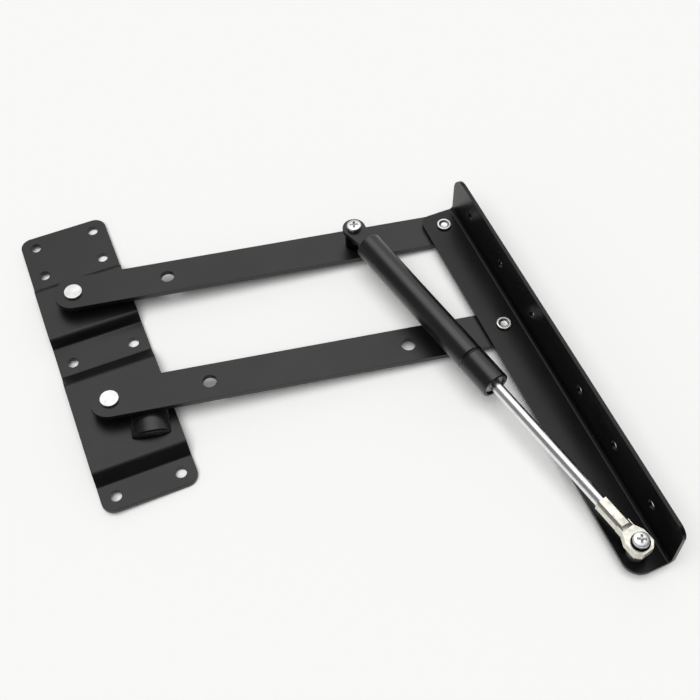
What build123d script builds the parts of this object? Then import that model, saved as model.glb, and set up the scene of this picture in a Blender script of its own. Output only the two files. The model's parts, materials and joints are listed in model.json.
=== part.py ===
from build123d import *
import math
import os

os.makedirs("parts", exist_ok=True)

# Lift top table mechanism, one side, in the raised position
# Millimetres and degrees. The origin is the centre of the base plate's mounting face, X runs from the
# plate to the table top's bracket, Y along the plate and Z away from the panel that it is screwed to.

# Base plate
plate_width = 50.0
plate_length = 190.0
plate_sheet = 2.5
plate_corner_radius = 6.5
plate_bend_radius = 2.0
seat_rise = 5.0
plate_screw_hole = 6.0
screw_edge_distance = 8.0
far_row_pitch = 22.0

# Raised seats, measured from their pivot to where the flat ends, and the length of each slope
upper_seat_near = 20.4
upper_seat_far = 17.0
upper_slope_near = 2.7
upper_slope_far = 3.2
lower_seat_near = 33.5
lower_seat_far = 23.5
lower_slope_near = 6.15
lower_slope_far = 8.5

# Pivots and links
pivot_x = -4.7
upper_pivot_y = 35.3
pivot_spacing = 75.0
link_length = 210.0
link_width = 21.2
link_sheet = 3.0
link_angle = -10.46
link_hole = 7.5
link_hole_near = 52.0
link_hole_far = 158.0
running_clearance = 0.05
assembly_clearance = 0.1

# Base rivets, their rings and washers
shoulder_diameter = 8.0
base_shank_diameter = 6.0
base_head_diameter = 10.0
base_head_height = 1.3
base_tail_diameter = 9.0
base_tail_height = 1.6
base_spacer_diameter = 13.0
base_spacer_height = 4.5
base_washer_diameter = 15.0
base_washer_height = 1.0

# Bracket rivets and washers
bracket_shank_diameter = 5.0
bracket_head_diameter = 8.0
bracket_head_height = 1.3
bracket_head_dish = 0.6
bracket_tail_diameter = 7.6
bracket_tail_height = 1.5
bracket_tail_bore = 3.0
bracket_tail_bore_depth = 3.5
tail_washer_diameter = 10.5
tail_washer_height = 1.0
bracket_washer_diameter = 14.0
bracket_washer_height = 0.5

# Top bracket, measured from its upper pivot
bracket_sheet = 2.0
bracket_bend_radius = 2.0
bracket_height = 30.0
upright_offset = 11.8
flange_inset = 11.0
far_reach = 10.0
near_reach = 226.2
near_corner_drop = 0.8
far_corner_radius = 6.0
near_corner_radius = 9.0
upright_far_radius = 11.0
upright_near_radius = 5.5
bracket_screw_hole = 5.5
bracket_hole_height = 17.0
first_hole_reach = 11.1
far_hole_pitch = 36.5
hole_group_gap = 50.5
near_hole_pitch = 34.0

# Gas spring
rod_end_inset = 3.3
rod_end_edge_distance = 10.0
spring_axis_height = 10.2
tube_diameter = 15.0
tube_wall = 1.2
tube_length = 111.8
tube_setback = 14.0
tube_shoulder_radius = 1.5
groove_from_mouth = 20.0
groove_width = 2.4
groove_depth = 0.6
mouth_recess = 1.2
mouth_lip = 0.4
mouth_lip_length = 0.8
rod_diameter = 6.0
plug_length = 6.0
piston_length = 8.0
piston_gap = 1.8
piston_nut_length = 3.5
piston_nut_diameter = 10.0
seal_groove_width = 2.0
seal_groove_depth = 1.25
rod_seal_length = 4.0
seal_washer_length = 1.5
mouth_ring_length = 2.0
ring_clearance = 0.3

# Ends of the gas spring
tab_thickness = 2.5
tab_drop = 1.25
tab_end_radius = 6.3
tab_root_width = 8.0
eye_thickness = 5.0
eye_width = 11.4
eye_end_reach = 5.6
eye_flat_reach = 8.2
eye_corner_length = 4.3
eye_end_width = 5.8
shank_diameter = 8.0
shank_flats = 7.0
shank_start = 26.0
shank_end = 12.0
thread_depth = 7.5
screw_diameter = 4.0
screw_head_diameter = 8.0
screw_head_height = 2.7
recess_width = 1.0
recess_length = 4.2
recess_depth = 1.4
rod_end_washer_diameter = 10.2
rod_end_washer_height = 1.0
rod_end_spacer_diameter = 9.0
tube_end_spacer_diameter = 10.0
clinch_flange_diameter = 11.0
clinch_flange_height = 1.2
spring_nut_flats = 7.0
spring_nut_height = 3.2
screw_tip = 1.0
swing_gap = 0.3

# Rest pad
pad_width = 20.2
pad_height = 5.2
pad_length = 27.6
pad_overhang = 12.4
pad_from_pivot = 18.3
pad_end_radius = 26.0
pad_end_slope = 1.8
pad_side_height = 1.0
pad_stem_diameter = 4.0
pad_stem_head_diameter = 6.4
pad_stem_head_height = 1.5

# Heights
seat_under = seat_rise
seat_top = seat_rise + plate_sheet
link_under = seat_top + base_spacer_height + base_washer_height
link_top = link_under + link_sheet
flange_under = link_top + bracket_washer_height
flange_top = flange_under + bracket_sheet
spring_z = flange_top + spring_axis_height
tab_under = spring_z - tab_drop
tab_top = tab_under + tab_thickness
eye_under = spring_z - eye_thickness / 2
eye_top = spring_z + eye_thickness / 2

# The plate's screw holes, from its middle
corner_pitch_x = plate_width - 2 * screw_edge_distance
corner_pitch_y = plate_length - 2 * screw_edge_distance
far_row_y = corner_pitch_y / 2 - far_row_pitch

# Pivots in plan
lower_pivot_y = upper_pivot_y - pivot_spacing
link_dx = math.cos(math.radians(link_angle))
link_dy = math.sin(math.radians(link_angle))
bracket_x = pivot_x + link_length * link_dx
bracket_y = upper_pivot_y + link_length * link_dy
base_pivots = {"upper": (pivot_x, upper_pivot_y), "lower": (pivot_x, lower_pivot_y)}
bracket_pivots = {"upper": (bracket_x, bracket_y), "lower": (bracket_x, bracket_y - pivot_spacing)}

# The gas spring's two pins, its length and its direction in plan
tube_pin_x = pivot_x + link_hole_far * link_dx
tube_pin_y = upper_pivot_y + link_hole_far * link_dy
rod_pin_x = bracket_x - rod_end_inset
rod_pin_y = bracket_y - near_reach + rod_end_edge_distance
spring_length = math.hypot(rod_pin_x - tube_pin_x, rod_pin_y - tube_pin_y)
spring_angle = math.degrees(math.atan2(rod_pin_y - tube_pin_y, rod_pin_x - tube_pin_x))


def cylinder(x, y, z, height, diameter):
    """Upright cylinder that stands on z."""
    return Pos(x, y, z + height / 2) * Cylinder(diameter / 2, height)


def ring(x, y, z, height, outer, bore):
    """Flat ring that stands on z."""
    return cylinder(x, y, z, height, outer) - cylinder(x, y, z, height, bore)


def turned(points):
    """Solid of revolution about Z from (radius, height) points."""
    return revolve(Plane.XZ * make_face(Polyline(*points, close=True)), Axis.Z)


def turned_along(edges):
    """Solid of revolution about X from the edges of a closed (along, radius) outline."""
    return revolve(Plane.XZ * make_face(edges), Axis.X)


def sleeve(start, length, outer, bore):
    """Straight ring about X from start, with its outer and bore diameters."""
    corners = [(start, bore / 2), (start + length, bore / 2), (start + length, outer / 2), (start, outer / 2)]
    return turned_along(Polyline(*corners, close=True).edges())


def strip_face(line, sheet, bend):
    """Edge view of a folded sheet. The line is one side of it, the sheet lies to the right of the line,
    and bend is the inside radius."""
    vectors = [Vector(*b) - Vector(*a) for a, b in zip(line, line[1:])]
    units = [v.normalized() for v in vectors]
    other = []
    radii = []
    other_radii = []
    for i, point in enumerate(line):
        before = units[max(i - 1, 0)]
        after = units[min(i, len(units) - 1)]
        mitre = (Vector(before.Y, -before.X) + Vector(after.Y, -after.X)) * (sheet / (1 + before.dot(after)))
        other.append(Vector(*point) + mitre)
        if 0 < i < len(line) - 1:
            turns_left = before.X * after.Y - before.Y * after.X > 0
            radii.append(bend if turns_left else bend + sheet)
            other_radii.append(bend + sheet if turns_left else bend)
    side = FilletPolyline(*line, radius=radii)
    back = FilletPolyline(*other, radius=other_radii)
    ends = [Line(line[0], other[0]), Line(line[-1], other[-1])]
    return make_face(side.edges() + back.edges() + ends[0].edges() + ends[1].edges())


def base_plate():
    """Folded strip with two raised seats, eight screw holes, two rivet holes and the pad's hole."""
    line = [(-plate_length / 2, plate_sheet)]
    for pivot_y, near, slope_near, far, slope_far in (
        (lower_pivot_y, lower_seat_near, lower_slope_near, lower_seat_far, lower_slope_far),
        (upper_pivot_y, upper_seat_near, upper_slope_near, upper_seat_far, upper_slope_far),
    ):
        line += [
            (pivot_y - near - slope_near, plate_sheet),
            (pivot_y - near, seat_top),
            (pivot_y + far, seat_top),
            (pivot_y + far + slope_far, plate_sheet),
        ]
    line.append((plate_length / 2, plate_sheet))
    section = Plane.YZ * strip_face(line, plate_sheet, plate_bend_radius)
    plate = extrude(section, plate_width / 2, both=True)
    plate &= extrude(RectangleRounded(plate_width, plate_length, plate_corner_radius), seat_top)
    for x in (-corner_pitch_x / 2, corner_pitch_x / 2):
        for y in (-corner_pitch_y / 2, 0, far_row_y, corner_pitch_y / 2):
            plate -= cylinder(x, y, 0, plate_sheet, plate_screw_hole)
    for x, y in base_pivots.values():
        plate -= cylinder(x, y, seat_under, plate_sheet, base_shank_diameter)
    x, y = pad_stem_place()
    plate -= cylinder(x, y, seat_under, plate_sheet, pad_stem_diameter)
    return plate


def base_rivet(x, y):
    """Shouldered rivet with a flat head, clenched under the seat."""
    head_top = link_top + base_head_height
    edge = base_head_height / 4
    return Pos(x, y, 0) * turned([
        (0, seat_under - base_tail_height),
        (base_tail_diameter / 2 - base_tail_height / 2, seat_under - base_tail_height),
        (base_tail_diameter / 2, seat_under - base_tail_height / 2),
        (base_tail_diameter / 2, seat_under),
        (base_shank_diameter / 2, seat_under),
        (base_shank_diameter / 2, seat_top),
        (shoulder_diameter / 2, seat_top),
        (shoulder_diameter / 2, link_top),
        (base_head_diameter / 2, link_top),
        (base_head_diameter / 2, head_top - edge),
        (base_head_diameter / 2 - edge, head_top),
        (0, head_top),
    ])


def bracket_rivet(x, y):
    """Semi-tubular rivet with a dished head on the bracket and a rolled tail under the link."""
    head_top = flange_top + bracket_head_height
    edge = bracket_head_height / 4
    tail_top = link_under - tail_washer_height
    tail = tail_top - bracket_tail_height
    bore = bracket_tail_bore / 2
    return Pos(x, y, 0) * turned([
        (0, tail + bracket_tail_bore_depth),
        (bore, tail + bracket_tail_bore_depth - bore / 2),
        (bore, tail + bracket_tail_height / 2),
        (bore + bracket_tail_height / 2, tail),
        (bracket_tail_diameter / 2 - bracket_tail_height / 3, tail),
        (bracket_tail_diameter / 2, tail + bracket_tail_height / 2),
        (bracket_tail_diameter / 2, tail_top),
        (bracket_shank_diameter / 2, tail_top),
        (bracket_shank_diameter / 2, flange_top),
        (bracket_head_diameter / 2, flange_top),
        (bracket_head_diameter / 2, head_top - edge),
        (bracket_head_diameter / 2 - edge, head_top),
        (bracket_head_diameter * 0.36, head_top),
        (bracket_head_diameter * 0.22, head_top - bracket_head_dish),
        (0, head_top - bracket_head_dish),
    ])


def link(pivot, far_hole):
    """Flat bar with round ends and its holes, in place on its base pivot."""
    bar = Pos(link_length / 2, 0) * SlotCenterToCenter(link_length, link_width)
    bar = extrude(bar, link_sheet)
    bar -= cylinder(0, 0, 0, link_sheet, shoulder_diameter + 2 * running_clearance)
    bar -= cylinder(link_hole_near, 0, 0, link_sheet, link_hole)
    bar -= cylinder(link_hole_far, 0, 0, link_sheet, far_hole)
    bar -= cylinder(link_length, 0, 0, link_sheet, bracket_shank_diameter + 2 * running_clearance)
    return Pos(*pivot, link_under) * Rot(0, 0, link_angle) * bar


def pad_stem_place():
    """Middle of the rest pad in plan, on the seat under the lower link's near edge."""
    across = pad_length / 2 - link_width / 2 - pad_overhang
    x = pivot_x + pad_from_pivot * link_dx - across * link_dy
    y = lower_pivot_y + pad_from_pivot * link_dy + across * link_dx
    return x, y


def rest_pad():
    """Rubber pad with an arched top, its near end bowed and sloped, and a moulded stem through the seat."""
    rise = pad_height - pad_side_height
    arch_radius = (pad_width**2 / 4 + rise**2) / (2 * rise)
    arch = Pos(0, pad_height - arch_radius) * Circle(arch_radius)
    arch &= Pos(0, pad_height / 2) * Rectangle(pad_width, pad_height)
    pad = extrude(Plane.XZ * arch, pad_length / 2, both=True)
    bow = Cone(pad_end_radius, pad_end_radius - pad_end_slope, pad_height)
    pad &= Pos(0, pad_end_radius - pad_length / 2, pad_height / 2) * bow
    pad += cylinder(0, 0, -plate_sheet, plate_sheet, pad_stem_diameter)
    pad += cylinder(0, 0, -plate_sheet - pad_stem_head_height, pad_stem_head_height, pad_stem_head_diameter)
    x, y = pad_stem_place()
    return Pos(x, y, seat_top) * Rot(0, 0, link_angle) * pad


def bracket_holes():
    """Places along Y of the six screw holes in the upright, far one first."""
    steps = [0, far_hole_pitch, far_hole_pitch, hole_group_gap, near_hole_pitch, near_hole_pitch]
    places = []
    y = bracket_y - first_hole_reach
    for step in steps:
        y -= step
        places.append(y)
    return places


def top_bracket():
    """Angle: a flat flange on the links and an upright for the table top's screws."""
    outer_x = bracket_x + upright_offset
    inner_x = outer_x - bracket_sheet
    bend_x = inner_x - bracket_bend_radius
    upright_top = flange_under + bracket_height
    left_x = bracket_x - flange_inset
    far_y = bracket_y + far_reach
    near_y = bracket_y - near_reach
    line = [(left_x, flange_top), (inner_x, flange_top), (inner_x, upright_top)]
    section = strip_face(line, bracket_sheet, bracket_bend_radius)
    angle = extrude(Plane.XZ * section, link_length + near_reach, both=True)
    flat = FilletPolyline(
        (left_x, far_y),
        (left_x, near_y - near_corner_drop),
        (bend_x, near_y),
        (bend_x, far_y),
        radius=[far_corner_radius, near_corner_radius, 0, 0],
        close=True,
    )
    upright = FilletPolyline(
        (near_y, flange_under),
        (far_y, flange_under),
        (far_y, upright_top),
        (near_y, upright_top),
        radius=[0, 0, upright_far_radius, upright_near_radius],
        close=True,
    )
    bracket = angle & extrude(Pos(0, 0, flange_under) * make_face(flat), bracket_sheet)
    bracket += angle & Pos(bend_x, 0, 0) * extrude(Plane.YZ * make_face(upright), outer_x - bend_x)
    for x, y in bracket_pivots.values():
        bracket -= cylinder(x, y, flange_under, bracket_sheet, bracket_shank_diameter)
    bracket -= cylinder(rod_pin_x, rod_pin_y, flange_under, bracket_sheet, screw_diameter + 2 * assembly_clearance)
    for y in bracket_holes():
        hole = Rot(0, 90, 0) * Cylinder(bracket_screw_hole / 2, bracket_sheet)
        bracket -= Pos(inner_x + bracket_sheet / 2, y, flange_under + bracket_hole_height) * hole
    return bracket


def pan_screw(x, y, head_z, tip_z):
    """Plain-shank screw with a low domed head and a cross recess."""
    r = screw_head_diameter / 2
    h = screw_head_height
    rim = h * 0.45
    dome_radius = (r**2 + (h - rim) ** 2) / (2 * (h - rim))
    middle = h - dome_radius + math.sqrt(dome_radius**2 - r**2 / 4)
    dome = ThreePointArc((r, rim), (r / 2, middle), (0, h))
    outline = Polyline((0, 0), (r, 0), (r, rim)).edges() + dome.edges() + Line((0, h), (0, 0)).edges()
    head = revolve(Plane.XZ * make_face(outline), Axis.Z)
    for turn in (0, 90):
        bar = Box(recess_length, recess_width, recess_depth)
        head -= Pos(0, 0, h - recess_depth / 2) * Rot(0, 0, turn) * bar
    return Pos(x, y, head_z) * head + cylinder(x, y, tip_z, head_z - tip_z, screw_diameter)


def spring_part(shape):
    """Puts a piece of the gas spring in place: its X runs from the tube's pin to the rod's pin."""
    return Pos(tube_pin_x, tube_pin_y, spring_z) * Rot(0, 0, spring_angle) * shape


# Places along the gas spring, from the tube's pin
mouth = tube_setback + tube_length
tube_radius = tube_diameter / 2
bore = tube_diameter - 2 * tube_wall
groove = mouth - groove_from_mouth
ring_end = mouth - mouth_recess
bush_end = ring_end - mouth_ring_length
pack_start = groove + groove_width / 2
seal_end = pack_start + rod_seal_length
bush_start = seal_end + seal_washer_length
piston_end = groove - groove_width / 2 - piston_gap
piston_start = piston_end - piston_length
rod_start = piston_start - piston_nut_length
rod_bore = rod_diameter + 2 * running_clearance


def cylinder_tube():
    """Tube with a rounded closed end, the rolled groove and a turned-in lip at its mouth."""
    lip = bore / 2 - mouth_lip
    inside = bore / 2
    half = groove_width / 2
    outside = FilletPolyline(
        (tube_setback, inside), (tube_setback, tube_radius), (groove - half, tube_radius),
        radius=[min(tube_shoulder_radius, tube_wall * 0.9)],
    )
    outer_groove = ThreePointArc(
        (groove - half, tube_radius), (groove, tube_radius - groove_depth), (groove + half, tube_radius)
    )
    end = FilletPolyline(
        (groove + half, tube_radius), (mouth, tube_radius), (mouth, lip),
        radius=[tube_wall * 0.6],
    )
    inner_end = Polyline(
        (mouth, lip), (mouth - mouth_lip_length, lip), (mouth - mouth_lip_length, inside), (groove + half, inside)
    )
    inner_groove = ThreePointArc((groove + half, inside), (groove, inside - groove_depth), (groove - half, inside))
    back = Line((groove - half, inside), (tube_setback, inside))
    edges = outside.edges() + outer_groove.edges() + end.edges()
    edges += inner_end.edges() + inner_groove.edges() + back.edges()
    return turned_along(edges)


def piston():
    """Piston on the rod with a groove for its seal."""
    radius = bore / 2 - running_clearance
    middle = (piston_start + piston_end) / 2
    half = seal_groove_width / 2
    corners = [
        (piston_start, rod_diameter / 2), (piston_end, rod_diameter / 2), (piston_end, radius),
        (middle + half, radius), (middle + half, radius - seal_groove_depth),
        (middle - half, radius - seal_groove_depth), (middle - half, radius), (piston_start, radius),
    ]
    return turned_along(Polyline(*corners, close=True).edges())


def piston_seal():
    """Seal that fills the piston's groove."""
    radius = bore / 2 - running_clearance
    start = (piston_start + piston_end - seal_groove_width) / 2
    return sleeve(start, seal_groove_width, 2 * radius, 2 * (radius - seal_groove_depth))


def tube_end_tab():
    """Flat tab welded to the tube's closed end, round about its screw."""
    outline = Circle(tab_end_radius)
    taper = Polyline(
        (0, -tab_end_radius), (tube_setback, -tab_root_width / 2),
        (tube_setback, tab_root_width / 2), (0, tab_end_radius), close=True,
    )
    outline += make_face(taper)
    tab = extrude(outline, tab_thickness)
    tab -= cylinder(0, 0, 0, tab_thickness, screw_diameter + 2 * assembly_clearance)
    return Pos(0, 0, -tab_drop) * tab


def rod_end_eye():
    """Shank with four flats on the rod's thread, milled down to a flat eye with cut corners."""
    centre = spring_length
    neck = centre - eye_flat_reach
    half = eye_width / 2
    outline = Polyline(
        (centre - shank_end, -shank_flats / 2), (neck, -shank_flats / 2),
        (neck + eye_corner_length, -half), (centre + eye_end_reach - (half - eye_end_width / 2), -half),
        (centre + eye_end_reach, -eye_end_width / 2), (centre + eye_end_reach, eye_end_width / 2),
        (centre + eye_end_reach - (half - eye_end_width / 2), half), (neck + eye_corner_length, half),
        (neck, shank_flats / 2), (centre - shank_end, shank_flats / 2), close=True,
    )
    eye = Pos(0, 0, -eye_thickness / 2) * extrude(make_face(outline), eye_thickness)
    shank = sleeve(centre - shank_start, shank_start - eye_flat_reach, shank_diameter, 0.5 * rod_diameter)
    shank += sleeve(centre - shank_start, shank_start - eye_flat_reach, 0.6 * rod_diameter, 0)
    slope = Polyline(
        (centre - shank_start, -shank_flats / 2), (centre - shank_end, -shank_flats / 2),
        (neck, -eye_thickness / 2), (neck, eye_thickness / 2),
        (centre - shank_end, shank_flats / 2), (centre - shank_start, shank_flats / 2), close=True,
    )
    shank &= extrude(Plane.XZ * make_face(slope), shank_flats / 2, both=True)
    shank -= sleeve(centre - shank_start, thread_depth, rod_diameter, 0)
    eye += shank
    eye -= Pos(centre, 0, 0) * Cylinder(screw_diameter / 2 + running_clearance, eye_thickness)
    return eye


nodes = {"base_plate": base_plate(), "rest_pad": rest_pad()}

# Pivots on the plate and on the bracket
for level in ("upper", "lower"):
    x, y = base_pivots[level]
    nodes[level + "_base_rivet"] = base_rivet(x, y)
    loose = shoulder_diameter + 2 * assembly_clearance
    nodes[level + "_base_spacer"] = ring(x, y, seat_top, base_spacer_height, base_spacer_diameter, loose)
    washer_z = seat_top + base_spacer_height
    nodes[level + "_base_washer"] = ring(x, y, washer_z, base_washer_height, base_washer_diameter, loose)
    x, y = bracket_pivots[level]
    nodes[level + "_bracket_rivet"] = bracket_rivet(x, y)
    loose = bracket_shank_diameter + 2 * assembly_clearance
    nodes[level + "_bracket_washer"] = ring(x, y, link_top, bracket_washer_height, bracket_washer_diameter, loose)
    washer_z = link_under - tail_washer_height
    nodes[level + "_tail_washer"] = ring(x, y, washer_z, tail_washer_height, tail_washer_diameter, loose)

# Links and the bracket
nodes["upper_link"] = link(base_pivots["upper"], link_hole)
nodes["lower_link"] = link(base_pivots["lower"], link_hole)
nodes["top_bracket"] = top_bracket()

# Tube side of the gas spring
nodes["cylinder_tube"] = spring_part(cylinder_tube())
nodes["tube_end_plug"] = spring_part(sleeve(tube_setback, plug_length, bore, 0))
nodes["tube_end_tab"] = spring_part(tube_end_tab())
nodes["rod_seal"] = spring_part(sleeve(pack_start, rod_seal_length, bore, rod_bore))
nodes["seal_washer"] = spring_part(sleeve(seal_end, seal_washer_length, bore, rod_diameter + 2 * ring_clearance))
nodes["guide_bush"] = spring_part(sleeve(bush_start, bush_end - bush_start, bore, rod_bore))
nodes["mouth_ring"] = spring_part(sleeve(bush_end, mouth_ring_length, bore, rod_diameter + 2 * ring_clearance))
foot = link_top + swing_gap
nodes["tube_end_spacer"] = ring(
    tube_pin_x, tube_pin_y, foot, tab_under - foot, tube_end_spacer_diameter, screw_diameter + 2 * assembly_clearance
)
nodes["tube_end_screw"] = pan_screw(tube_pin_x, tube_pin_y, tab_top, foot)
clinch = cylinder(tube_pin_x, tube_pin_y, link_under - clinch_flange_height, clinch_flange_height, clinch_flange_diameter)
clinch += cylinder(tube_pin_x, tube_pin_y, link_under, link_sheet, link_hole)
clinch -= cylinder(tube_pin_x, tube_pin_y, link_under - clinch_flange_height, clinch_flange_height + link_sheet, screw_diameter)
nodes["spring_link_nut"] = clinch

# Rod side of the gas spring
nodes["piston_rod"] = spring_part(
    sleeve(rod_start, spring_length - shank_start + thread_depth - rod_start, rod_diameter, 0)
)
nodes["piston"] = spring_part(piston())
nodes["piston_seal"] = spring_part(piston_seal())
nodes["piston_nut"] = spring_part(sleeve(rod_start, piston_nut_length, piston_nut_diameter, rod_diameter))
nodes["rod_end_eye"] = spring_part(rod_end_eye())

# What holds the rod's eye on the bracket
nodes["rod_end_spacer"] = ring(
    rod_pin_x, rod_pin_y, flange_top, eye_under - flange_top, rod_end_spacer_diameter,
    screw_diameter + 2 * assembly_clearance,
)
nodes["rod_end_washer"] = ring(
    rod_pin_x, rod_pin_y, eye_top, rod_end_washer_height, rod_end_washer_diameter,
    screw_diameter + 2 * assembly_clearance,
)
nut_z = flange_under - spring_nut_height
nodes["rod_end_screw"] = pan_screw(rod_pin_x, rod_pin_y, eye_top + rod_end_washer_height, nut_z - screw_tip)
nut = extrude(RegularPolygon(spring_nut_flats / 2, 6, major_radius=False), spring_nut_height)
nodes["spring_bracket_nut"] = Pos(rod_pin_x, rod_pin_y, nut_z) * nut - cylinder(
    rod_pin_x, rod_pin_y, nut_z, spring_nut_height, screw_diameter
)

for name, shape in nodes.items():
    export_step(shape, "parts/" + name + ".step")
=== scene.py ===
import json
import math

import bmesh
import bpy
import numpy as np
from bpy.props import FloatProperty, FloatVectorProperty, IntProperty, PointerProperty
from mathutils import Matrix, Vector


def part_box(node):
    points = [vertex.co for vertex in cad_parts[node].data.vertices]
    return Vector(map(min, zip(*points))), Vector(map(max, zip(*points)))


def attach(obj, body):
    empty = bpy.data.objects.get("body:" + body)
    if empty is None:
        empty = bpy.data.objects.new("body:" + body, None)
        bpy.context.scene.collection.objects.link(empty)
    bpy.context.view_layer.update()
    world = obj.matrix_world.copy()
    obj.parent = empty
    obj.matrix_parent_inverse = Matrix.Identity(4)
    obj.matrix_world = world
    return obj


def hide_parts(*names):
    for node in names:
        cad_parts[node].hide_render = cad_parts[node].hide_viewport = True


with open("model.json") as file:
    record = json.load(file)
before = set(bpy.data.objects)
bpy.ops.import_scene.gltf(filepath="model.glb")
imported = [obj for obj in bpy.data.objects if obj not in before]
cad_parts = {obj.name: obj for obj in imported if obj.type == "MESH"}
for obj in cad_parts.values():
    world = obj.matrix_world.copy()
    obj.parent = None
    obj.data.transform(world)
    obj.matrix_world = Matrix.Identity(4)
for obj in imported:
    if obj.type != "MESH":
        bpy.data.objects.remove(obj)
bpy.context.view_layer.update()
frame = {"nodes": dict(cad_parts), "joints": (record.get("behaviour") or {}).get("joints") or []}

bl_info = {
    "name": "Lift top table mechanism",
    "version": (1, 0, 0),
    "blender": (4, 5, 0),
    "location": "3D View > Sidebar > Mechanism",
    "description": "Dresses one side of a lift top table mechanism and sets its studio",
    "category": "Add Mesh",
}

MM = 0.001
SHARP = math.radians(32)
JOINTS = {j["name"]: j for j in frame["joints"]}
# The gas spring's line: its eye's pin, and the direction in which the tube slides
SPRING_EYE = np.array(JOINTS["rod_tilt"]["pos_m"], float)
SPRING_AXIS = np.array(JOINTS["tube_slide"]["axis"], float)
SPRING_LINE = (SPRING_EYE, SPRING_AXIS)
# The links' direction at rest, and the rest pad's height above its seat, length and shoulder radius in mm
LINK_TURN = math.radians(-10.46)
PAD_HEIGHT, PAD_LENGTH, PAD_SHOULDER = 5.2, 27.6, 0.9


def linear(text):
    """An sRGB hex colour as linear red, green and blue with full alpha."""
    c = np.array([int(text[i:i + 2], 16) for i in (1, 3, 5)]) / 255
    c = np.where(c <= 0.04045, c / 12.92, ((c + 0.055) / 1.055) ** 2.4)
    return (*c, 1.0)


def put(tree, kind, settings=None, inputs=None):
    """Adds one node with its settings, and its inputs as values or as links from other nodes' outputs."""
    node = tree.nodes.new(kind)
    for name, value in (settings or {}).items():
        setattr(node, name, value)
    for name, value in (inputs or {}).items():
        if isinstance(value, bpy.types.NodeSocket):
            tree.links.new(value, node.inputs[name])
        else:
            node.inputs[name].default_value = value
    return node


def points_of(mesh):
    """A mesh's points in metres, one row each."""
    co = np.zeros(len(mesh.vertices) * 3, np.float32)
    mesh.vertices.foreach_get("co", co)
    return co.reshape(-1, 3)


# Surfaces

def rounded(corners, radii, steps=6):
    """A profile with its corners rounded. Each corner becomes an arc that starts r tan(turn / 2) before it and ends as
    far after it, but never past the middle of a side. A radius of 0 keeps the corner."""
    p = np.array(corners, float)
    r = np.zeros(len(p))
    r[1:-1] = radii
    before = np.diff(p, axis=0, prepend=p[:1])
    after = np.diff(p, axis=0, append=p[-1:])
    lb = np.maximum(np.linalg.norm(before, axis=1), 1e-9)
    la = np.maximum(np.linalg.norm(after, axis=1), 1e-9)
    ub, ua = before / lb[:, None], after / la[:, None]
    turn = np.arctan2(ub[:, 0] * ua[:, 1] - ub[:, 1] * ua[:, 0], (ub * ua).sum(1))
    cut = np.minimum(r * np.abs(np.tan(turn / 2)), np.minimum(lb, la) * 0.49)
    cut[[0, -1]] = 0
    radius = cut / np.maximum(np.abs(np.tan(turn / 2)), 1e-9)
    side = np.sign(turn)[:, None]
    centre = p - ub * cut[:, None] + side * radius[:, None] * np.stack([-ub[:, 1], ub[:, 0]], 1)
    t = np.linspace(0, 1, steps)[None, :] * turn[:, None]
    start = p - ub * cut[:, None] - centre
    c, s = np.cos(t)[..., None], np.sin(t)[..., None]
    flipped = np.stack([-start[:, 1], start[:, 0]], 1)
    arc = centre[:, None] + c * start[:, None] + s * flipped[:, None]
    keep = np.ones(arc.shape[:2], bool)
    keep[cut < 1e-9, 1:] = False
    return arc[keep]


def ring_faces(rows, n, closed=False):
    """Four-sided faces between neighbouring rings of n points, and from the last ring to the first if closed."""
    i = np.arange(rows if closed else rows - 1)[:, None]
    j = np.arange(n)[None, :]
    here, there, step = i * n, (i + 1) % rows * n, (j + 1) % n
    return np.stack(np.broadcast_arrays(here + j, here + step, there + step, there + j), -1).reshape(-1, 4)


def piece(node, points, faces, body, material, uv=None):
    """A mesh piece that stands for a node, from its points and faces."""
    mesh = bpy.data.meshes.new(node + "_dressed")
    mesh.from_pydata(points.tolist(), [], faces.tolist())
    if uv is not None:
        layer = mesh.uv_layers.new(name="turned")
        loops = np.zeros(len(mesh.loops), np.int64)
        mesh.loops.foreach_get("vertex_index", loops)
        layer.data.foreach_set("uv", uv[loops].astype(np.float32).ravel())
    weld(mesh)
    finish_piece(node, mesh, body, material)


def weld(mesh, flatten=False):
    """Joins doubled points, drops faces that close on themselves and turns all faces outwards. flatten also joins
    faces that lie in one plane."""
    bm = bmesh.new()
    bm.from_mesh(mesh)
    bmesh.ops.remove_doubles(bm, verts=bm.verts, dist=2e-6)
    bmesh.ops.dissolve_degenerate(bm, edges=bm.edges, dist=1e-7)
    if flatten:
        bmesh.ops.dissolve_limit(bm, angle_limit=math.radians(0.3), verts=bm.verts, edges=bm.edges)
    bmesh.ops.recalc_face_normals(bm, faces=bm.faces)
    bm.to_mesh(mesh)
    bm.free()


def finish_piece(node, mesh, body, material):
    """Makes the object, smooths it by angle, and tells the frame what it rides on and stands for."""
    mesh.materials.clear()
    mesh.materials.append(finish(material))
    mesh.shade_smooth()
    mesh.set_sharp_from_angle(angle=SHARP)
    obj = bpy.data.objects.new(node + "_dressed", mesh)
    bpy.context.scene.collection.objects.link(obj)
    even = obj.modifiers.new("even shading", "WEIGHTED_NORMAL")
    even.keep_sharp = True
    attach(obj, body)
    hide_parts(node)
    return obj


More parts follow.
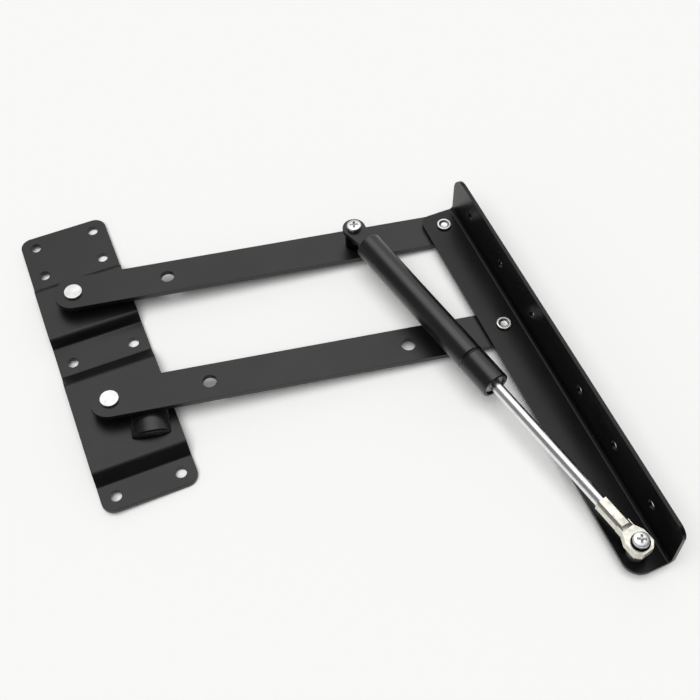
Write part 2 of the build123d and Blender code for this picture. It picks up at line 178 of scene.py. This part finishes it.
def turned(node, profile, line, body, material, segments):
    """A turned piece about a line, its origin and axis. Profile rows are (radius, along) in mm. They run from axis to
    axis, or from the bore right round the section, which is then closed. The surface is
    origin + along * axis + radius * (cos a * e1 + sin a * e2)."""
    profile = np.asarray(profile, float) * MM
    origin, axis = line
    axis = np.array(axis, float) / np.linalg.norm(axis)
    e1 = np.cross(axis, [0, 0, 1] if abs(axis[2]) < 0.9 else [1, 0, 0])
    e1 /= np.linalg.norm(e1)
    e2 = np.cross(axis, e1)
    a = np.arange(segments) * 2 * math.pi / segments
    ring = np.cos(a)[:, None] * e1 + np.sin(a)[:, None] * e2
    points = np.array(origin, float) + profile[:, 1, None, None] * axis + profile[:, 0, None, None] * ring
    on_axis = profile[0, 0] < 1e-9
    quads = ring_faces(len(profile), segments, closed=not on_axis)
    length = np.concatenate([[0], np.cumsum(np.linalg.norm(np.diff(profile, axis=0), axis=1))]) / MM
    around = np.abs(np.arange(segments) / segments * 2 - 1)
    uv = np.stack(np.broadcast_arrays(around[None, :], length[:, None]), -1).reshape(-1, 2)
    piece(node, points.reshape(-1, 3), quads, body, material, uv)


def edged_copy(node, body, material, bevel, segments=3, angle=35):
    """The node's own solid with its edges broken by a small round, as tumbled or coated sheet has."""
    mesh = frame["nodes"][node].data.copy()
    mesh.name = node + "_dressed"
    weld(mesh, flatten=True)
    obj = finish_piece(node, mesh, body, material)
    round_edges = obj.modifiers.new("broken edges", "BEVEL")
    round_edges.width = bevel * MM
    round_edges.segments = segments
    round_edges.limit_method = "ANGLE"
    round_edges.angle_limit = math.radians(angle)
    round_edges.harden_normals = True
    # The bevel goes before the weighted normals
    obj.modifiers.move(1, 0)
    return obj


def middle(node):
    """Centre of a node's box in plan, with its lowest and highest point, in mm."""
    low, high = (np.array(v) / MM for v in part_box(node))
    return (low[0] + high[0]) / 2, (low[1] + high[1]) / 2, low[2], high[2]


def upright(node):
    """The upright line through the middle of a node's box."""
    x, y, _, _ = middle(node)
    return (x * MM, y * MM, 0), (0, 0, 1)


def outer_radius(node):
    """Half the width of a node's box, in mm."""
    low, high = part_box(node)
    return (high[0] - low[0]) / MM / 2


def span(node):
    """First and last place of a node along the gas spring, from the eye's pin, then its greatest and its least radius,
    all in mm."""
    v = points_of(frame["nodes"][node].data) - SPRING_EYE
    along = v @ SPRING_AXIS
    radius = np.linalg.norm(v - along[:, None] * SPRING_AXIS, axis=1)
    return along.min() / MM, along.max() / MM, radius.max() / MM, radius.min() / MM


# Finishes

def surface(name, base, metallic, roughness, extra=None):
    """Makes a principled material and returns its tree, shader and object coordinates."""
    material = bpy.data.materials.new(name)
    material.use_nodes = True
    tree = material.node_tree
    shader = tree.nodes["Principled BSDF"]
    shader.inputs["Base Color"].default_value = linear(base)
    shader.inputs["Metallic"].default_value = metallic
    shader.inputs["Roughness"].default_value = roughness
    for key, value in (extra or {}).items():
        shader.inputs[key].default_value = value
    return tree, shader, put(tree, "ShaderNodeTexCoord")


def mottle(tree, shader, at, base, other, size, low, high):
    """Cloudy change of colour and roughness over size mm, from base to other and from low to high."""
    inputs = {"Vector": at.outputs["Object"], "Scale": 1 / (size * MM), "Detail": 4.0}
    cloud = put(tree, "ShaderNodeTexNoise", inputs=inputs)
    ramp = put(tree, "ShaderNodeMapRange", inputs={"Value": cloud.outputs[0], "From Min": 0.35, "From Max": 0.65})
    mix = put(tree, "ShaderNodeMix", {"data_type": "RGBA"}, {0: ramp.outputs[0], 6: linear(base), 7: linear(other)})
    tree.links.new(mix.outputs[2], shader.inputs["Base Color"])
    rough = put(tree, "ShaderNodeMapRange", inputs={"Value": cloud.outputs[0], "From Min": 0.3, "From Max": 0.7,
                                                    "To Min": low, "To Max": high})
    tree.links.new(rough.outputs[0], shader.inputs["Roughness"])
    return cloud


def grain(tree, at, size, detail=2.0):
    """Height of a fine grain, size mm across."""
    inputs = {"Vector": at.outputs["Object"], "Scale": 1 / (size * MM), "Detail": detail}
    return put(tree, "ShaderNodeTexNoise", inputs=inputs).outputs[0]


def relief(tree, shader, height, depth, strength):
    """Bump of depth mm from a height."""
    bump = put(tree, "ShaderNodeBump", inputs={"Height": height, "Distance": depth * MM, "Strength": strength})
    tree.links.new(bump.outputs[0], shader.inputs["Normal"])


def powder_coat(name, sheen, low, high):
    """Satin black powder coat on steel sheet. The eye sees a soft grey sheen that is broken a little by the orange peel
    of the melted powder and drifts over each sheet as the coat's roughness does."""
    tree, shader, at = surface(name, "#0b0b0c", 0.0, 0.4, {"IOR": 1.5, "Specular IOR Level": sheen})
    mottle(tree, shader, at, "#0a0a0b", "#0d0d0e", 25.0, low, high)
    relief(tree, shader, grain(tree, at, 0.9), 0.02, 0.35)


def tube_enamel(name):
    """Sprayed semi-gloss enamel on a drawn tube. The eye sees a long, bright highlight with a narrow edge, smoother
    than the coat's."""
    tree, shader, at = surface(name, "#0a0a0b", 0.0, 0.3, {"IOR": 1.5, "Specular IOR Level": 0.68})
    mottle(tree, shader, at, "#09090a", "#0c0c0d", 18.0, 0.27, 0.33)
    relief(tree, shader, grain(tree, at, 1.4), 0.015, 0.3)


def turned_metal(name, base, other, roughness, ring=0.25, depth=0.01):
    """Plated turned metal. Fine lathe rings, ring mm apart, follow the turned profile, so that the eye sees a highlight
    drawn out across them."""
    tree, shader, at = surface(name, base, 1.0, roughness)
    mottle(tree, shader, at, base, other, 4.0, roughness * 0.85, roughness * 1.2)
    uv = put(tree, "ShaderNodeUVMap", {"uv_map": "turned"})
    split = put(tree, "ShaderNodeSeparateXYZ", inputs={0: uv.outputs[0]})
    rings = put(tree, "ShaderNodeTexNoise", {"noise_dimensions": "1D"},
                {"W": split.outputs[1], "Scale": 1 / ring, "Detail": 2.0})
    relief(tree, shader, rings.outputs[0], depth, 0.5)


def plain_metal(name, base, other, roughness):
    """Plated metal. The bath leaves a faint cloudiness, which the eye sees as soft patches in the reflections."""
    tree, shader, at = surface(name, base, 1.0, roughness)
    cloud = mottle(tree, shader, at, base, other, 3.0, roughness * 0.8, roughness * 1.25)
    relief(tree, shader, cloud.outputs[0], 0.01, 0.3)


def moulded(name, base, other, low, high, size, depth):
    """Moulded rubber or plastic. The mould's grain, size mm across, makes the eye see a dull, broken sheen."""
    tree, shader, at = surface(name, base, 0.0, (low + high) / 2, {"IOR": 1.5})
    mottle(tree, shader, at, base, other, 6.0, low, high)
    relief(tree, shader, grain(tree, at, size, 3.0), depth, 0.6)


# Each finish, with what makes it and that maker's values. No name is one of the frame's own slots.
FINISHES = {
    # Even grey sheen of the plate, links and tab
    "satin_powder_coat": (powder_coat, 0.5, 0.36, 0.42),
    # Deeper black with a narrower sheen, for the bracket
    "bracket_powder_coat": (powder_coat, 0.28, 0.26, 0.32),
    # Gas spring tube and its end plug
    "tube_enamel": (tube_enamel,),
    # Rivets: bright, with a soft edge to what they reflect
    "bright_zinc": (turned_metal, "#e2e2e0", "#d6d6d4", 0.38),
    # Rod: near white beside a clear dark stripe
    "hard_chrome": (turned_metal, "#f0f0f0", "#e8e9ea", 0.3, 0.6, 0.004),
    # Rod's eye: a warm, creamy white
    "pale_nickel": (plain_metal, "#e4e2d8", "#d4d2c6", 0.34),
    # Spacers, nuts and tail washers: a plain, slightly dull grey
    "plain_zinc": (plain_metal, "#dcdcda", "#c9c9c8", 0.32),
    # Screws: a cooler and lighter white than the rivets
    "zinc_plate": (plain_metal, "#f0f0f1", "#e4e5e7", 0.36),
    # Washer and spacer at the spring's ends: near black with a metal's glint; the washer's thin rim under the screw's
    # head is partly painted shade
    "blackened_steel": (plain_metal, "#1b1b1c", "#242424", 0.4),
    # Ring in the tube's mouth: light grey against the enamel
    "grey_ring": (turned_metal, "#d4d5d4", "#c2c3c2", 0.4),
    # Wear washers and guide bush: dull black with a faint sheen
    "black_acetal": (moulded, "#19191a", "#202021", 0.42, 0.52, 0.5, 0.01),
    # Seals: black without a highlight
    "nitrile_rubber": (moulded, "#141414", "#1b1b1b", 0.6, 0.7, 0.4, 0.02),
    # Rest pad: glossy black as it leaves a polished mould
    "moulded_rubber": (moulded, "#0b0b0c", "#0f0f10", 0.24, 0.3, 0.7, 0.006),
}


def finish(name):
    """A finish by its name, made the first time that it is asked for."""
    if name not in bpy.data.materials:
        maker, *values = FINISHES[name]
        maker(name, *values)
    return bpy.data.materials[name]


class MechanismSizes(bpy.types.PropertyGroup):
    """Rounds on edges and the fineness of turned pieces."""
    sheet_edge: FloatProperty(name="Sheet edge", description="Round on the coated sheets' edges", default=0.0004,
                              min=0.00005, unit="LENGTH", subtype="DISTANCE")
    head_edge: FloatProperty(name="Head edge", description="Round on the rivet heads' edges", default=0.00035,
                             min=0.00005, unit="LENGTH", subtype="DISTANCE")
    turned_segments: IntProperty(name="Segments", description="Divisions round a turned piece", default=96, min=24)


class StudioSizes(bpy.types.PropertyGroup):
    """Camera, floor, even light and lamp."""
    lens: FloatProperty(name="Lens", description="Focal length on a 36 mm sensor", default=57.344, unit="CAMERA")
    place: FloatVectorProperty(name="Camera", description="Camera place", size=3, subtype="XYZ", unit="LENGTH",
                               default=(0.00339, -0.37076, 0.50088))
    floor_colour: FloatVectorProperty(name="Floor", description="Colour of the floor", size=3, subtype="COLOR",
                                      default=(0.93, 0.93, 0.92))
    sky: FloatProperty(name="Sky", description="Strength of the even light", default=0.25)
    key: FloatProperty(name="Key", description="Strength of the broad lamp overhead", default=2.5)
    softness: FloatProperty(name="Softness", description="Apparent width of the broad lamp", subtype="ANGLE",
                            default=math.radians(56))


# Soft glows of the room that the finishes mirror: direction, inner and outer half angle in degrees, and strength
ROOM_GLOWS = (
    ((0.1, 0.38, 0.92), 10, 34, 1.65),  # lamp overhead
    ((0.2, 0.5, 0.84), 10, 60, 0.35),  # pale ceiling round it
    ((0.9, 0.4, 0.25), 5, 50, 0.65),  # light wall on the right
    ((-0.9, 0.35, 0.3), 5, 50, 0.2),  # darker wall on the left
)
ROOM_DARK, PAPER_WHITE = 0.03, 0.95
# The camera's right, down and ahead in the frame
CAMERA_AXES = ((0.92509, -0.37925, -0.01921), (-0.32293, -0.75908, -0.56526), (0.19979, 0.52912, -0.82469))


class MECHANISM_OT_stage(bpy.types.Operator):
    """Pale floor, camera and soft lamps"""
    bl_idname = "mechanism.stage"
    bl_label = "Stage"

    def execute(self, context):
        scene, studio = context.scene, context.scene.mechanism_studio
        scene.view_settings.view_transform = "Standard"
        self.lay_floor(context, studio)
        self.light_room(scene, studio)
        self.hang_lamp(scene, studio)
        self.place_camera(scene, studio)
        return {"FINISHED"}

    def lay_floor(self, context, studio):
        """The floor is the plane that the part rests on: the plate's right edge and the clenched rivet tails."""
        plate = np.array(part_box("base_plate"))
        tail = np.array(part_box("upper_bracket_rivet"))
        x0, x1 = plate[1, 0], tail[:, 0].mean()
        slope = math.atan2(tail[0, 2], x1 - x0)
        bpy.ops.mesh.primitive_plane_add(size=1)
        floor = context.object
        floor.name = "floor"
        wide = Matrix.Diagonal((12, 12, 1, 1))
        floor.data.transform(Matrix.Translation((x0, 0, 0)) @ Matrix.Rotation(-slope, 4, "Y") @ wide)
        material = bpy.data.materials.new("pale_floor")
        material.use_nodes = True
        shader = material.node_tree.nodes["Principled BSDF"]
        shader.inputs["Base Color"].default_value = (*studio.floor_colour, 1)
        shader.inputs["Roughness"].default_value = 0.9
        shader.inputs["Specular IOR Level"].default_value = 0.1
        floor.data.materials.append(material)

    def light_room(self, scene, studio):
        """Three worlds in one: even light for the floor and matt surfaces, a room for the finishes to mirror, and white
        paper wherever the picture shows no floor."""
        world = bpy.data.worlds.new("studio")
        scene.world = world
        world.use_nodes = True
        tree = world.node_tree
        tree.nodes.clear()
        rays = put(tree, "ShaderNodeLightPath")
        toward = put(tree, "ShaderNodeTexCoord").outputs["Generated"]
        glow = ROOM_DARK
        for centre, inner, outer, strength in ROOM_GLOWS:
            near = put(tree, "ShaderNodeVectorMath", {"operation": "DOT_PRODUCT"}, {0: toward, 1: centre})
            lobe = put(tree, "ShaderNodeMapRange", {"interpolation_type": "SMOOTHSTEP"},
                       {"Value": near.outputs["Value"], "From Min": math.cos(math.radians(outer)),
                        "From Max": math.cos(math.radians(inner)), "To Max": strength})
            glow = put(tree, "ShaderNodeMath", {"operation": "ADD"}, {0: lobe.outputs[0], 1: glow}).outputs[0]

        def white(strength):
            inputs = {"Color": (1, 1, 1, 1), "Strength": strength}
            return put(tree, "ShaderNodeBackground", inputs=inputs).outputs[0]

        lit = put(tree, "ShaderNodeMixShader",
                  inputs={0: rays.outputs["Is Glossy Ray"], 1: white(studio.sky), 2: white(glow)})
        seen = put(tree, "ShaderNodeMixShader",
                   inputs={0: rays.outputs["Is Camera Ray"], 1: lit.outputs[0], 2: white(PAPER_WHITE)})
        put(tree, "ShaderNodeOutputWorld", inputs={"Surface": seen.outputs[0]})

    def hang_lamp(self, scene, studio):
        """One broad lamp overhead, which the finishes don't mirror."""
        lamp = bpy.data.lights.new("key", "SUN")
        lamp.energy = studio.key
        lamp.angle = studio.softness
        key = bpy.data.objects.new("key", lamp)
        key.matrix_world = look_at((-0.2, -0.22, 0.95), (0, 0, 0))
        key.visible_glossy = False
        scene.collection.objects.link(key)

    def place_camera(self, scene, studio):
        """The camera, fitted to the base plate's holes, rivets and edges."""
        camera = bpy.data.cameras.new("camera")
        camera.lens = studio.lens
        camera.sensor_width = 36.0
        camera.clip_start = 0.01
        eye = bpy.data.objects.new("camera", camera)
        right, down, ahead = np.array(CAMERA_AXES)
        pose = np.eye(4)
        pose[:3, 0], pose[:3, 1], pose[:3, 2], pose[:3, 3] = right, -down, -ahead, studio.place
        eye.matrix_world = Matrix(pose.tolist())
        scene.collection.objects.link(eye)
        scene.camera = eye


def look_at(place, target):
    """Matrix of a lamp at place that shines at target."""
    back = np.array(place, float) - np.array(target, float)
    back /= np.linalg.norm(back)
    side = np.cross([0, 0, 1], back)
    side /= np.linalg.norm(side)
    pose = np.eye(4)
    pose[:3, 0], pose[:3, 1], pose[:3, 2], pose[:3, 3] = side, np.cross(back, side), back, place
    return Matrix(pose.tolist())


class MECHANISM_OT_coated_sheets(bpy.types.Operator):
    """Base plate, links and top bracket in powder coat, with broken edges"""
    bl_idname = "mechanism.coated_sheets"
    bl_label = "Coated sheets"

    def execute(self, context):
        edge = context.scene.mechanism_sizes.sheet_edge / MM
        for node, body, coat in (("base_plate", "base", "satin"), ("upper_link", "upper_link", "satin"),
                                 ("lower_link", "lower_link", "satin"), ("top_bracket", "top_bracket", "bracket"),
                                 ("tube_end_tab", "spring_tube", "satin")):
            edged_copy(node, body, coat + "_powder_coat", edge)
        return {"FINISHED"}


class MECHANISM_OT_rivets(bpy.types.Operator):
    """Flat-headed base rivets and dished bracket rivets"""
    bl_idname = "mechanism.rivets"
    bl_label = "Rivets"

    def execute(self, context):
        sizes = context.scene.mechanism_sizes
        for level in ("upper", "lower"):
            self.base_rivet(level, sizes)
            self.bracket_rivet(level, sizes)
        return {"FINISHED"}

    def base_rivet(self, level, sizes):
        """Half section from the tail's middle up to the head's: tail, shank, shoulder, head."""
        node = level + "_base_rivet"
        _, _, low, high = middle(node)
        under = middle(level + "_base_spacer")[2]
        link = middle(level + "_link")[3]
        head = outer_radius(node)
        corners = [(0, low), (3.6, low), (4.5, low + 0.9), (4.5, under - 2.5), (3, under - 2.5), (3, under),
                   (4, under), (4, link), (head, link), (head, high), (0, high)]
        profile = rounded(corners, [0.3, 0.5, 0.1, 0, 0, 0, 0, 0.08, sizes.head_edge / MM])
        turned(node, profile, upright(node), "base", "bright_zinc", sizes.turned_segments)

    def bracket_rivet(self, level, sizes):
        """Half section from the tail's bore up to the dish in the head."""
        node = level + "_bracket_rivet"
        _, _, low, high = middle(node)
        top = middle("rod_end_spacer")[2]
        tail = middle(level + "_tail_washer")[2]
        corners = [(0, low + 3.5), (1.5, low + 2.75), (1.5, low + 0.7), (2.2, low), (3.4, low), (3.8, low + 0.8),
                   (3.8, tail), (2.5, tail), (2.5, top), (4.0, top), (4.0, high), (2.9, high), (1.9, high - 0.95),
                   (0, high - 1.05)]
        profile = rounded(corners, [0.1, 0.2, 0.3, 0.3, 0.3, 0.1, 0, 0, 0.08, 0.35, 0.4, 0.5])
        turned(node, profile, upright(node), "top_bracket", "bright_zinc", sizes.turned_segments)


class MECHANISM_OT_rings(bpy.types.Operator):
    """Spacers and washers, turned with broken edges"""
    bl_idname = "mechanism.rings"
    bl_label = "Spacers and washers"

    def execute(self, context):
        for kind, body, material in (("base_spacer", "base", "plain_zinc"), ("base_washer", "base", "black_acetal"),
                                     ("bracket_washer", "top_bracket", "black_acetal"),
                                     ("tail_washer", "top_bracket", "plain_zinc")):
            for level in ("upper_", "lower_"):
                self.ring(level + kind, body, material)
        self.ring("rod_end_spacer", "top_bracket", "plain_zinc")
        # The black washer is trimmed so that only a thin dark rim shows under the screw's head. The rim is partly the
        # real washer and partly painted shade for the head's shadow and the eye's edge
        self.ring("rod_end_washer", "top_bracket", "blackened_steel", 0.5)
        self.ring("tube_end_spacer", "spring_tube", "blackened_steel")
        return {"FINISHED"}

    def ring(self, node, body, material, less=0.0):
        """Rectangular section with four rounded corners, turned about the pivot. less mm are taken off its outer
        radius, so that the washer shows under the screw's head as narrow as in the photo."""
        x, y, low, high = middle(node)
        outer = outer_radius(node) - less
        bore = np.linalg.norm(points_of(frame["nodes"][node].data)[:, :2] / MM - (x, y), axis=1).min()
        edge = min(0.25, (high - low) * 0.3)
        mid = (low + high) / 2
        corners = [(bore, mid), (bore, low), (outer, low), (outer, high), (bore, high), (bore, mid + 0.01)]
        turned(node, rounded(corners, [edge] * 4), upright(node), body, material, 72)


class MECHANISM_OT_spring_tube(bpy.types.Operator):
    """The gas spring's tube with its rolled groove and open mouth, and what is inside it"""
    bl_idname = "mechanism.spring_tube"
    bl_label = "Gas spring tube"

    def execute(self, context):
        sizes = context.scene.mechanism_sizes
        start, end, outer, _ = span("cylinder_tube")
        _, _, bore, _ = span("guide_bush")
        groove, groove_depth, groove_half = end - 20.0, 0.6, 1.2
        t = np.linspace(-1, 1, 13)
        dip = groove_depth * np.cos(t * math.pi / 2) ** 2
        waist_out = np.stack([outer - dip, groove + groove_half * t], 1)
        waist_in = np.stack([bore - dip, groove + groove_half * t], 1)[::-1]
        shoulder = rounded([(bore, start), (outer, start), (outer, start + 4)], [1.15], 8)
        mouth = rounded([(outer, end - 4), (outer, end), (bore - 0.4, end), (bore - 0.4, end - 0.8), (bore, end - 0.8),
                         (bore, end - 2.5)], [0.45, 0.25, 0, 0])
        profile = np.concatenate([shoulder, waist_out, mouth, waist_in, [(bore, start + 0.5)]])
        turned("cylinder_tube", profile, SPRING_LINE, "spring_tube", "tube_enamel", 128)
        for node, material in (("tube_end_plug", "tube_enamel"), ("rod_seal", "nitrile_rubber"),
                               ("seal_washer", "plain_zinc"), ("guide_bush", "black_acetal"),
                               ("mouth_ring", "grey_ring")):
            first, last, radius, inner = span(node)
            if node == "tube_end_plug":
                profile = rounded([(0, first), (radius, first), (radius, last), (0, last)], [0.2, 0.2])
            else:
                half = (first + last) / 2
                profile = rounded([(inner, half), (inner, first), (radius, first), (radius, last), (inner, last),
                                   (inner, half + 0.01)], [0.15, 0.05, 0.2, 0.3])
            turned(node, profile, SPRING_LINE, "spring_tube", material, sizes.turned_segments)
        return {"FINISHED"}


class MECHANISM_OT_spring_rod(bpy.types.Operator):
    """The chromed rod, its piston and the nickel eye"""
    bl_idname = "mechanism.spring_rod"
    bl_label = "Gas spring rod"

    def execute(self, context):
        sizes = context.scene.mechanism_sizes
        first, last, radius, _ = span("piston_rod")
        profile = rounded([(0, first), (radius, first), (radius, last), (0, last)], [0.3, 0.3])
        # Nine more rows along the rod, after the axis and the first corner's six
        shank = np.stack([np.full(9, radius), np.linspace(first + 1, last - 1, 9)], 1)
        profile = np.insert(profile, 7, shank, axis=0)
        turned("piston_rod", profile, SPRING_LINE, "spring_rod", "hard_chrome", sizes.turned_segments)
        first, last, radius, inner = span("piston")
        seal = span("piston_seal")
        step = radius - 1.25
        corners = [(inner, last), (inner, first), (radius, first), (radius, seal[0]), (step, seal[0]), (step, seal[1]),
                   (radius, seal[1]), (radius, last), (inner, last - 0.01)]
        profile = rounded(corners, [0.1, 0.3, 0.1, 0, 0, 0.1, 0.3])
        turned("piston", profile, SPRING_LINE, "spring_rod", "plain_zinc", 72)
        for node, material in (("piston_seal", "nitrile_rubber"), ("piston_nut", "plain_zinc")):
            first, last, radius, inner = span(node)
            half = (first + last) / 2
            corners = [(inner, half), (inner, first), (radius, first), (radius, last), (inner, last),
                       (inner, half + 0.01)]
            turned(node, rounded(corners, [0.1, 0.3, 0.3, 0.1]), SPRING_LINE, "spring_rod", material, 72)
        self.shorten_step(edged_copy("rod_end_eye", "spring_rod", "pale_nickel", 0.2, 2, 40).data)
        return {"FINISHED"}

    def shorten_step(self, eye):
        """The milled step from shank to eye is 3.8 mm long in the solid. Its points, which lie above and below the
        eye's flat faces, close up towards the neck until it is 2.2 mm long."""
        neck, flats, half_eye, long, short = 8.2, 12.05, 2.51, 3.8, 2.2
        co = points_of(eye)
        along = (co - SPRING_EYE) @ SPRING_AXIS / MM
        step = (np.abs(co[:, 2] - SPRING_EYE[2]) > half_eye * MM) & (along > -flats) & (along < -neck)
        co[step] -= ((along[step] + neck) * (1 - short / long) * MM)[:, None] * SPRING_AXIS
        eye.vertices.foreach_set("co", co.ravel())
        eye.set_sharp_from_angle(angle=SHARP)


class MECHANISM_OT_screws(bpy.types.Operator):
    """Pan-head screws with their cross recess, and the two nuts"""
    bl_idname = "mechanism.screws"
    bl_label = "Screws and nuts"

    def execute(self, context):
        self.screw("tube_end_screw", "spring_tube", 0.35)
        self.screw("rod_end_screw", "top_bracket", 0.5)
        edged_copy("spring_link_nut", "upper_link", "plain_zinc", 0.2)
        edged_copy("spring_bracket_nut", "top_bracket", "plain_zinc", 0.25)
        return {"FINISHED"}

    def screw(self, node, body, turn):
        """The head is a height over radius r and angle, high - (tall - rim) (r / R)^3, less a cross. The cross is the
        deeper of two bars across the middle, V-shaped in section, sloped at both ends and shallower outwards. Below it
        a skirt of turned rows goes down the shank."""
        x, y, low, high = middle(node)
        radius = outer_radius(node)
        tall, rim, shank, segments = 2.7, 2.2, 2.5, 192
        bar_half, bar_reach, bar_end = 0.62, 2.3, 0.5
        deep, shallower, cross_radius = 1.6, 0.4, 2.1
        r = np.concatenate([np.linspace(0, 0.62, 44), np.linspace(0.64, 0.94, 14)]) * radius
        a = np.arange(segments) * 2 * math.pi / segments
        rr, aa = np.meshgrid(r, a, indexing="ij")

        def bar(u, v):
            return np.clip(1 - np.abs(v) / bar_half, 0, 1) * np.clip((bar_reach - np.abs(u)) / bar_end, 0, 1)

        px, py = rr * np.cos(aa + turn), rr * np.sin(aa + turn)
        depth = np.maximum(bar(px, py), bar(py, px)) * (deep - shallower * rr / cross_radius)
        top = high - (tall - rim) * (rr / radius) ** 3
        grid = np.stack([x + rr * np.cos(aa), y + rr * np.sin(aa), top - depth], -1)
        rows = np.array([(radius * 0.98, high - 0.6), (radius, high - 0.85), (radius, high - tall + 0.12),
                         (radius - 0.12, high - tall), (shank, high - tall), (shank, low + 0.4), (shank - 0.4, low),
                         (0, low)])
        skirt = np.stack(np.broadcast_arrays(x + rows[:, :1] * np.cos(a), y + rows[:, :1] * np.sin(a),
                                             rows[:, 1:] + 0 * a), -1)
        points = np.concatenate([grid, skirt]) * MM
        piece(node, points.reshape(-1, 3), ring_faces(len(points), segments), body, "zinc_plate")


class MECHANISM_OT_rest_pad(bpy.types.Operator):
    """Moulded rubber pad under the lower link"""
    bl_idname = "mechanism.rest_pad"
    bl_label = "Rest pad"

    def execute(self, context):
        """The pad is built in its own axes, x across, y away and z up, and turned to lie along the lower link. Its stem
        goes down through the seat from the middle of its length."""
        c, s = math.cos(LINK_TURN), math.sin(LINK_TURN)
        v = points_of(frame["nodes"]["rest_pad"].data) / MM
        own = np.stack([v[:, 0] * c + v[:, 1] * s, v[:, 1] * c - v[:, 0] * s], 1)
        low, foot = v[:, 2].min(), v[:, 2].max() - PAD_HEIGHT
        above = own[v[:, 2] > foot - 0.01]
        (left, near), (right, far) = above.min(0), above.max(0)
        centre, length_middle, segments = (left + right) / 2, (far + far - PAD_LENGTH) / 2, 48

        def placed(x, y, z):
            return np.stack([x * c - y * s, x * s + y * c, z], -1)

        x, y, z = self.cushion((right - left) / 2, near, far)
        cushion = placed(x + centre, y, z + foot)
        stem = np.array([(0.0, foot + 0.2), (2.0, foot + 0.2), (2.0, low + 1.5), (2.9, low + 1.5), (3.2, low + 1.2),
                         (3.2, low + 0.4), (2.8, low), (0.0, low)])
        t = np.arange(segments) * 2 * math.pi / segments
        x, y = centre + stem[:, :1] * np.cos(t), length_middle + stem[:, :1] * np.sin(t)
        peg = placed(x, y, stem[:, 1:] + 0 * x)
        points = np.concatenate([cushion.reshape(-1, 3), peg.reshape(-1, 3)]) * MM
        peg_faces = ring_faces(len(stem), segments) + cushion.shape[0] * cushion.shape[1]
        faces = np.concatenate([ring_faces(*cushion.shape[:2]), peg_faces])
        piece("rest_pad", points, faces, "base", "moulded_rubber")
        return {"FINISHED"}

    def section(self, half):
        """The pad across, an arch over upright sides with shoulders of radius r. Rows are x, z and the direction
        outwards, from one foot over the top to the other."""
        side, r = 1.0, PAD_SHOULDER
        rise = PAD_HEIGHT - side
        arch = (half ** 2 + rise ** 2) / (2 * rise)
        drop = math.sqrt((arch - r) ** 2 - (half - r) ** 2)
        turn = math.atan2(drop, half - r)
        a = np.linspace(0, turn, 8)
        shoulder = np.stack([half - r + r * np.cos(a), PAD_HEIGHT - arch + drop + r * np.sin(a),
                             np.cos(a), np.sin(a)], 1)
        b = np.linspace(turn, math.pi / 2, 25)[1:]
        top = np.stack([arch * np.cos(b), PAD_HEIGHT - arch + arch * np.sin(b), np.cos(b), np.sin(b)], 1)
        quarter = np.concatenate([[[half, 0, 1, 0]], shoulder, top])
        return np.concatenate([quarter, quarter[-2::-1] * (-1, 1, -1, 1)])

    def cushion(self, half, near, far):
        """Rings from the far end to the near one, as x, y and z. The near end is bowed and sloped:
        y = b - sqrt((B - k z)^2 - x^2). Both ends turn over by the shoulders' r: at angle f the section shrinks by
        r (1 - cos f) while y moves on by r sin f. Each end closes on a point core mm up."""
        x, z, nx, nz = self.section(half).T
        r, bow, slope, core = PAD_SHOULDER, 26.0, 1.8, 2

        def front(x, z):
            return near + bow - np.sqrt((bow - slope * z / PAD_HEIGHT) ** 2 - x ** 2)

        def shrunk(f):
            return x - nx * (r * (1 - math.cos(f))), z - nz * (r * (1 - math.cos(f)))

        rings = [(x * q, core + (z - core) * q, far + 0 * x) for q in (0, 0.35, 0.7)]
        for f in np.linspace(math.pi / 2, 0, 7):
            rings.append((*shrunk(f), far - r + r * math.sin(f) + 0 * x))
        for f in np.linspace(0, math.pi / 2, 7):
            rings.append((*shrunk(f), front(*shrunk(f)) + r * (1 - math.sin(f))))
        for q in (0.7, 0.35, 0):
            xs, zs = (x - nx * r) * q, core + (z - nz * r - core) * q
            rings.append((xs, zs, front(xs, zs)))
        x, z, y = np.array(rings).transpose(1, 0, 2)
        return x, y, z


class MECHANISM_PT_pieces(bpy.types.Panel):
    """Sizes and pieces of the mechanism"""
    bl_label = "Lift top mechanism"
    bl_idname = "MECHANISM_PT_pieces"
    bl_space_type = "VIEW_3D"
    bl_region_type = "UI"
    bl_category = "Mechanism"

    def draw(self, context):
        for group in (context.scene.mechanism_sizes, context.scene.mechanism_studio):
            for key in group.bl_rna.properties.keys():
                if key not in ("rna_type", "name"):
                    self.layout.prop(group, key)
        for operator in OPERATORS:
            self.layout.operator(operator.bl_idname)


OPERATORS = (
    MECHANISM_OT_stage,
    MECHANISM_OT_coated_sheets,
    MECHANISM_OT_rivets,
    MECHANISM_OT_rings,
    MECHANISM_OT_spring_tube,
    MECHANISM_OT_spring_rod,
    MECHANISM_OT_screws,
    MECHANISM_OT_rest_pad,
)
CLASSES = (MechanismSizes, StudioSizes, *OPERATORS, MECHANISM_PT_pieces)


def register():
    for cls in CLASSES:
        bpy.utils.register_class(cls)
    bpy.types.Scene.mechanism_sizes = PointerProperty(type=MechanismSizes)
    bpy.types.Scene.mechanism_studio = PointerProperty(type=StudioSizes)


def unregister():
    del bpy.types.Scene.mechanism_studio
    del bpy.types.Scene.mechanism_sizes
    for cls in reversed(CLASSES):
        bpy.utils.unregister_class(cls)


def main():
    register()
    bpy.ops.mechanism.stage()
    bpy.ops.mechanism.coated_sheets()
    bpy.ops.mechanism.rivets()
    bpy.ops.mechanism.rings()
    bpy.ops.mechanism.spring_tube()
    bpy.ops.mechanism.spring_rod()
    bpy.ops.mechanism.screws()
    bpy.ops.mechanism.rest_pad()


if __name__ == "__main__":
    main()
